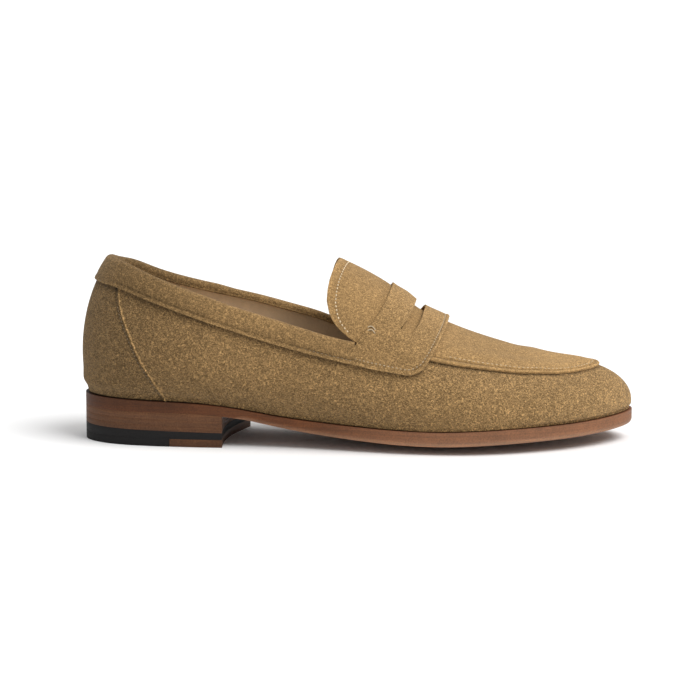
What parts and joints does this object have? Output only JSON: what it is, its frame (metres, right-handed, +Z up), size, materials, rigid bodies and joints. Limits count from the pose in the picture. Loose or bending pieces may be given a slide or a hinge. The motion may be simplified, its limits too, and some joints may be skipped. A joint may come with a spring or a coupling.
{
  "type": "penny loafer",
  "caption": "Right-foot suede penny loafer with a slotted strap saddle, a stitched apron, a leather sole and a stacked heel.",
  "frame": {"origin": "centre of the box's bottom face, on the ground under the heel's top piece", "axes": "+X from heel to toe, +Y to the medial (inner) side of the foot, +Z up"},
  "size_m": [0.2964, 0.0998, 0.099],
  "materials": {
    "suede": "tan suede with a short matt nap",
    "suede_light": "tan suede, brushed lighter",
    "thread": "waxed beige thread",
    "lining": "smooth tan calf lining, satin",
    "sole": "reddish brown burnished leather, satin",
    "lift": "dark brown stacked leather, satin",
    "rubber": "matt black",
    "board": "pressed leather board, matt",
    "cork": "granular cork paste",
    "foam": "soft latex foam, matt",
    "steel": "spring steel",
    "brass": "plain brass, worn flat"
  },
  "bodies": {
    "shoe": {"outsole": "sole", "heel_lift_upper": "lift", "heel_lift_middle": "lift", "heel_lift_lower": "lift", "rubber_lift": "rubber", "rubber_top_piece": "rubber", "leather_top_piece": "lift", "top_brad_1": "brass", "top_brad_2": "brass", "top_brad_3": "brass", "top_brad_4": "brass", "top_brad_5": "brass", "insole": "board", "sock_liner": "lining", "heel_pad": "foam", "shank": "steel", "cork_filler": "cork", "vamp_wall": "suede", "heel_cover": "suede", "apron": "suede_light", "saddle_collar": "suede_light", "tongue_base": "suede_light", "vamp_lining": "lining", "quarter_lining_lateral": "lining", "quarter_lining_medial": "lining", "heel_grip_lining": "lining", "counter_stiffener": "board", "toe_puff": "board", "apron_thread": "thread", "collar_thread": "thread", "saddle_thread": "thread", "counter_thread_lateral": "thread", "counter_thread_medial": "thread", "saddle_tack_lateral": "thread", "saddle_tack_medial": "thread"},
    "tongue": {"tongue_flap": "suede_light", "tongue_lining": "lining", "tongue_thread": "thread"}
  },
  "joints": [
    {"name": "tongue_flex", "type": "hinge", "parent": "shoe", "child": "tongue", "pos_m": [0.01654, 0.00403, 0.08339], "axis": [0, 1, 0], "range_deg": [0, 25], "stiffness_Nm_per_rad": 0.15}
  ]
}
